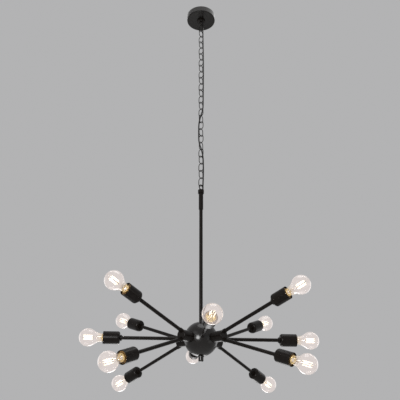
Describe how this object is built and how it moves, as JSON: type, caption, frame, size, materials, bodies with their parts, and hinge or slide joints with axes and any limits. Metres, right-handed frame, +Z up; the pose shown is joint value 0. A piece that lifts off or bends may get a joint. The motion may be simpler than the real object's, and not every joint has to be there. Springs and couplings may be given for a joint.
{
  "type": "sputnik chandelier",
  "caption": "Black metal sputnik chandelier: a ball hub with level and tilted arms and clear filament bulbs, hung on a stem and chain from a round canopy.",
  "frame": {"origin": "middle of the canopy's rim in the ceiling plane, on the hanging axis", "axes": "+Z up to the ceiling, -Y the front, +X to the right; the fixture hangs below"},
  "size_m": [0.816, 0.816, 1.5803],
  "materials": {
    "black_metal": "satin black powder coat",
    "zinc_steel": "zinc plated",
    "white_plastic": "moulded",
    "cord_rubber": "smooth black sheath",
    "bulb_glass": "clear glass, lit warm white",
    "holder_phenolic": "moulded phenolic with a brass shell",
    "lead_insulation": "heat resistant sleeving"
  },
  "bodies": {
    "ceiling_mount": {"ceiling_bracket": "zinc_steel", "bracket_fixings": "zinc_steel", "hanging_nipple": "zinc_steel", "terminal_block": "white_plastic", "canopy_loop": "black_metal"},
    "canopy": {"canopy": "black_metal", "canopy_collar": "black_metal"},
    "upper_link": {"chain_upper_link": "black_metal"},
    "chain": {"chain_links": "black_metal", "power_cord": "cord_rubber"},
    "turning_link": {"chain_turning_link": "black_metal"},
    "lower_link": {"chain_lower_link": "black_metal"},
    "fixture": {"stem_loop": "black_metal", "stem_rod": "black_metal", "hub_ball": "black_metal", "hub_core": "zinc_steel", "hub_finial": "black_metal", "arm_coupling_1": "black_metal", "arm_coupling_2": "black_metal", "arm_coupling_3": "black_metal", "arm_coupling_4": "black_metal", "arm_tube_level_1": "black_metal", "arm_tube_level_2": "black_metal", "arm_tube_level_3": "black_metal", "arm_tube_level_4": "black_metal", "arm_tube_upper_1": "black_metal", "arm_tube_upper_2": "black_metal", "arm_tube_upper_3": "black_metal", "arm_tube_upper_4": "black_metal", "arm_tube_lower_1": "black_metal", "arm_tube_lower_2": "black_metal", "arm_tube_lower_3": "black_metal", "arm_tube_lower_4": "black_metal", "socket_cup_level_1": "black_metal", "socket_cup_level_2": "black_metal", "socket_cup_level_3": "black_metal", "socket_cup_level_4": "black_metal", "socket_cup_upper_1": "black_metal", "socket_cup_upper_2": "black_metal", "socket_cup_upper_3": "black_metal", "socket_cup_upper_4": "black_metal", "socket_cup_lower_1": "black_metal", "socket_cup_lower_2": "black_metal", "socket_cup_lower_3": "black_metal", "socket_cup_lower_4": "black_metal", "lamp_holders": "holder_phenolic", "arm_leads": "lead_insulation", "set_screws": "black_metal"},
    "bulb_level_1": {"bulb_level_1": "bulb_glass"},
    "bulb_level_2": {"bulb_level_2": "bulb_glass"},
    "bulb_level_3": {"bulb_level_3": "bulb_glass"},
    "bulb_level_4": {"bulb_level_4": "bulb_glass"},
    "bulb_upper_1": {"bulb_upper_1": "bulb_glass"},
    "bulb_upper_2": {"bulb_upper_2": "bulb_glass"},
    "bulb_upper_3": {"bulb_upper_3": "bulb_glass"},
    "bulb_upper_4": {"bulb_upper_4": "bulb_glass"},
    "bulb_lower_1": {"bulb_lower_1": "bulb_glass"},
    "bulb_lower_2": {"bulb_lower_2": "bulb_glass"},
    "bulb_lower_3": {"bulb_lower_3": "bulb_glass"},
    "bulb_lower_4": {"bulb_lower_4": "bulb_glass"}
  },
  "joints": [
    {"name": "canopy_lowering", "type": "slide", "parent": "ceiling_mount", "child": "canopy", "axis": [0, 0, -1], "range_m": [0, 0.02]},
    {"name": "loop_swing", "type": "hinge", "parent": "ceiling_mount", "child": "upper_link", "pos_m": [0, 0, -0.055], "axis": [0.7071, 0.7071, 0], "range_deg": [-20, 20]},
    {"name": "chain_swing", "type": "hinge", "parent": "upper_link", "child": "chain", "pos_m": [0, 0, -0.0865], "axis": [-0.7071, 0.7071, 0], "range_deg": [-20, 20], "deforming": ["power_cord"]},
    {"name": "chain_turn", "type": "hinge", "parent": "chain", "child": "turning_link", "pos_m": [0, 0, -0.78885], "axis": [0, 0, 1], "range_deg": [-20, 20], "stiffness_Nm_per_rad": 0.05},
    {"name": "lower_link_swing", "type": "hinge", "parent": "turning_link", "child": "lower_link", "pos_m": [0, 0, -0.8225], "axis": [0.7071, 0.7071, 0], "range_deg": [-20, 20]},
    {"name": "stem_swing", "type": "hinge", "parent": "lower_link", "child": "fixture", "pos_m": [0, 0, -0.8545], "axis": [-0.7071, 0.7071, 0], "range_deg": [-20, 20]},
    {"name": "bulb_level_1_out", "type": "slide", "parent": "fixture", "child": "bulb_level_1", "axis": [0, -1, 0], "range_m": [0, 0.03]},
    {"name": "bulb_level_2_out", "type": "slide", "parent": "fixture", "child": "bulb_level_2", "axis": [1, 0, 0], "range_m": [0, 0.03]},
    {"name": "bulb_level_3_out", "type": "slide", "parent": "fixture", "child": "bulb_level_3", "axis": [0, 1, 0], "range_m": [0, 0.03]},
    {"name": "bulb_level_4_out", "type": "slide", "parent": "fixture", "child": "bulb_level_4", "axis": [-1, 0, 0], "range_m": [0, 0.03]},
    {"name": "bulb_upper_1_out", "type": "slide", "parent": "fixture", "child": "bulb_upper_1", "axis": [0.6686, 0.6686, 0.3256], "range_m": [0, 0.03]},
    {"name": "bulb_upper_2_out", "type": "slide", "parent": "fixture", "child": "bulb_upper_2", "axis": [-0.6686, 0.6686, 0.3256], "range_m": [0, 0.03]},
    {"name": "bulb_upper_3_out", "type": "slide", "parent": "fixture", "child": "bulb_upper_3", "axis": [-0.6686, -0.6686, 0.3256], "range_m": [0, 0.03]},
    {"name": "bulb_upper_4_out", "type": "slide", "parent": "fixture", "child": "bulb_upper_4", "axis": [0.6686, -0.6686, 0.3256], "range_m": [0, 0.03]},
    {"name": "bulb_lower_1_out", "type": "slide", "parent": "fixture", "child": "bulb_lower_1", "axis": [0.6686, 0.6686, -0.3256], "range_m": [0, 0.03]},
    {"name": "bulb_lower_2_out", "type": "slide", "parent": "fixture", "child": "bulb_lower_2", "axis": [-0.6686, 0.6686, -0.3256], "range_m": [0, 0.03]},
    {"name": "bulb_lower_3_out", "type": "slide", "parent": "fixture", "child": "bulb_lower_3", "axis": [-0.6686, -0.6686, -0.3256], "range_m": [0, 0.03]},
    {"name": "bulb_lower_4_out", "type": "slide", "parent": "fixture", "child": "bulb_lower_4", "axis": [0.6686, -0.6686, -0.3256], "range_m": [0, 0.03]}
  ]
}
